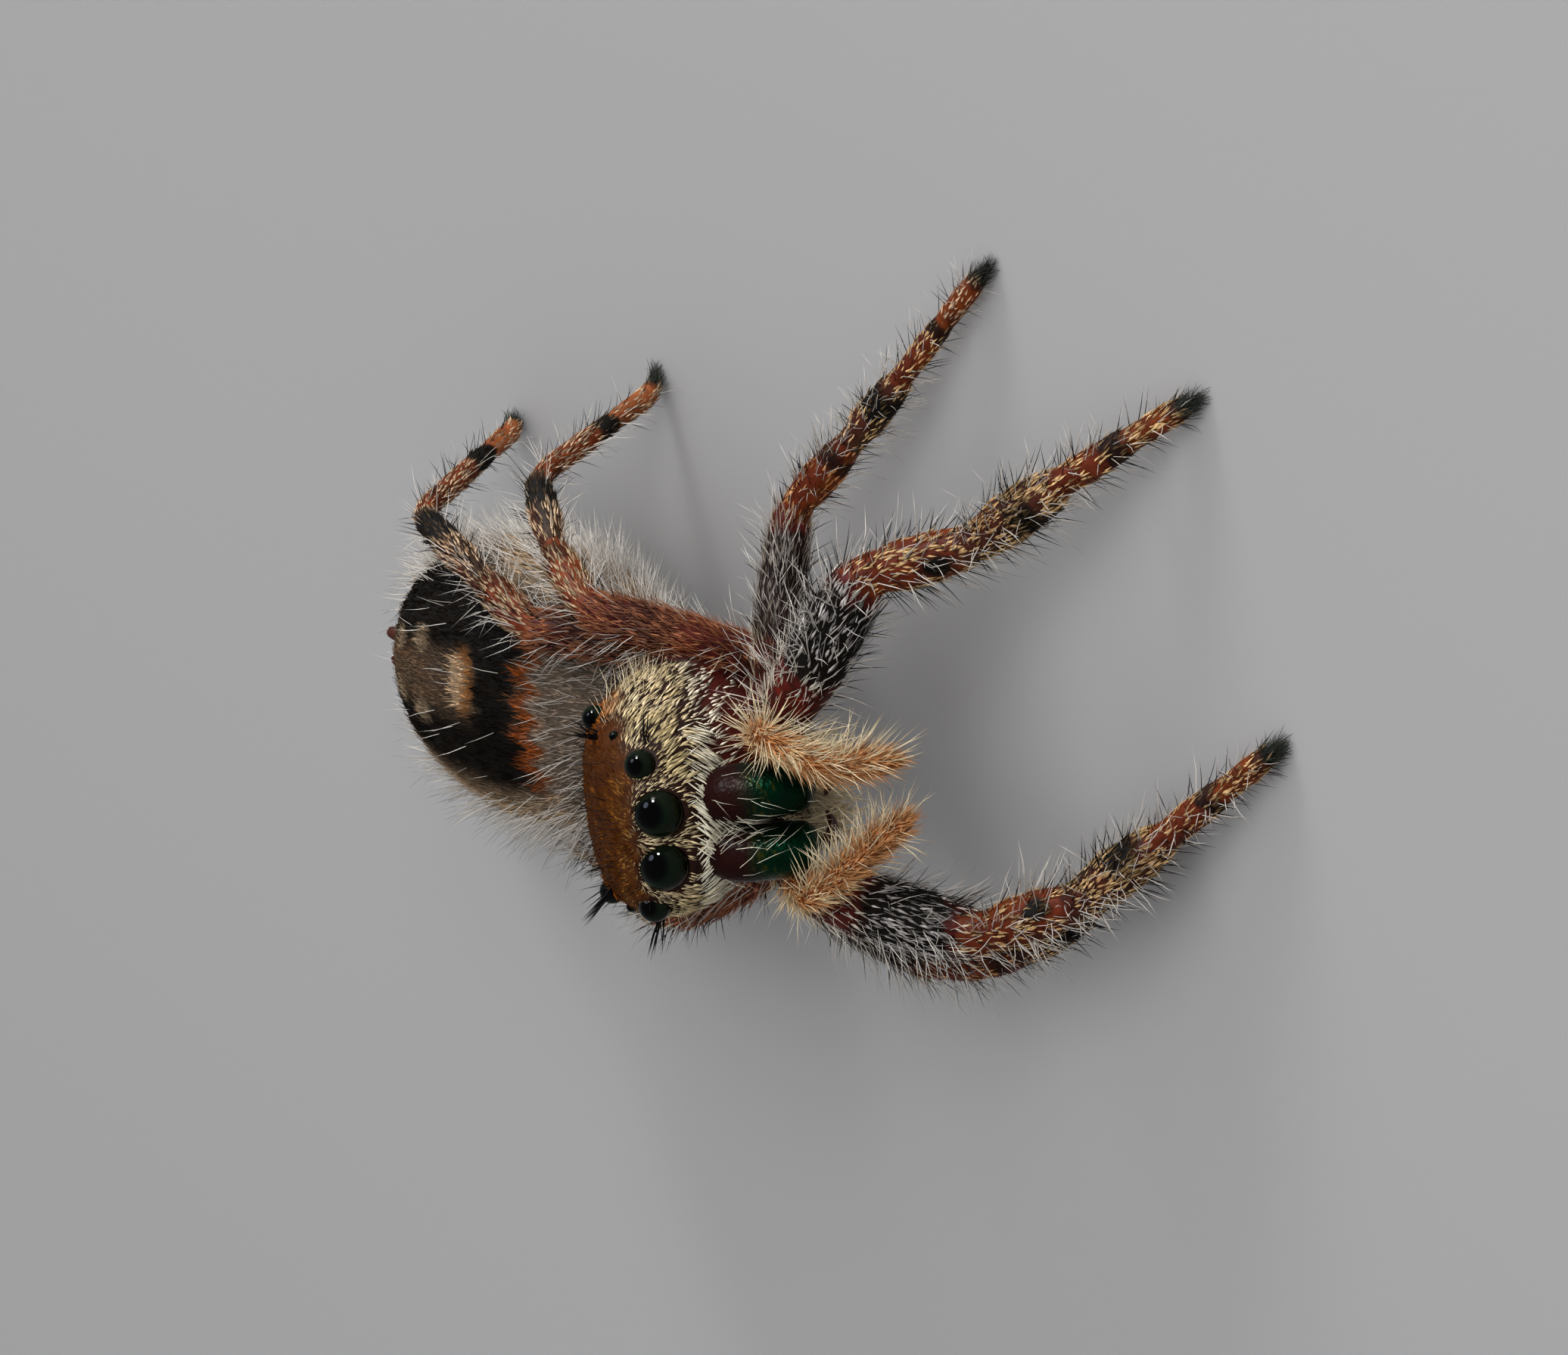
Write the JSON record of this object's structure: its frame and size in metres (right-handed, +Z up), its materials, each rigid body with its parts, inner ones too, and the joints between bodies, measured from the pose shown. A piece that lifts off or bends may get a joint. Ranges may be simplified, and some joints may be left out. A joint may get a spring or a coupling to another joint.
{
  "type": "jumping spider",
  "caption": "Furry jumping spider as a still life-size model, front raised, front legs reaching to one side, large forward eyes, green jaws and banded bristly legs.",
  "frame": {"origin": "centre of the bounding box at floor level, under the spider", "axes": "+Z up from the floor, -Y the way the spider faces, +X its left side"},
  "size_m": [0.0136, 0.023, 0.0066],
  "materials": {
    "body_fur": "scales, short fur and long fine hairs; rust orange, cream, grey-white and black",
    "jaw": "glossy metallic green chitin",
    "eye": "polished black with a dark green sheen",
    "fang": "glossy dark red-brown chitin"
  },
  "bodies": {
    "root": {"abdomen": "body_fur", "carapace": "body_fur", "chelicera_left": "jaw", "chelicera_right": "jaw", "eye_front_middle_left": "eye", "eye_front_middle_right": "eye", "eye_front_side_left": "eye", "eye_front_side_right": "eye", "eye_rear_left": "eye", "eye_rear_right": "eye", "eye_small_left": "eye", "eye_small_right": "eye", "fang_left": "fang", "fang_right": "fang", "leg_1_left": "body_fur", "leg_1_right": "body_fur", "leg_2_left": "body_fur", "leg_2_right": "body_fur", "leg_3_left": "body_fur", "leg_3_right": "body_fur", "leg_4_left": "body_fur", "leg_4_right": "body_fur", "maxilla_left": "body_fur", "maxilla_right": "body_fur", "palp_left": "body_fur", "palp_right": "body_fur", "pedicel": "body_fur", "spinneret_lower_left": "body_fur", "spinneret_lower_right": "body_fur", "spinneret_upper_left": "body_fur", "spinneret_upper_right": "body_fur"}
  },
  "joints": []
}
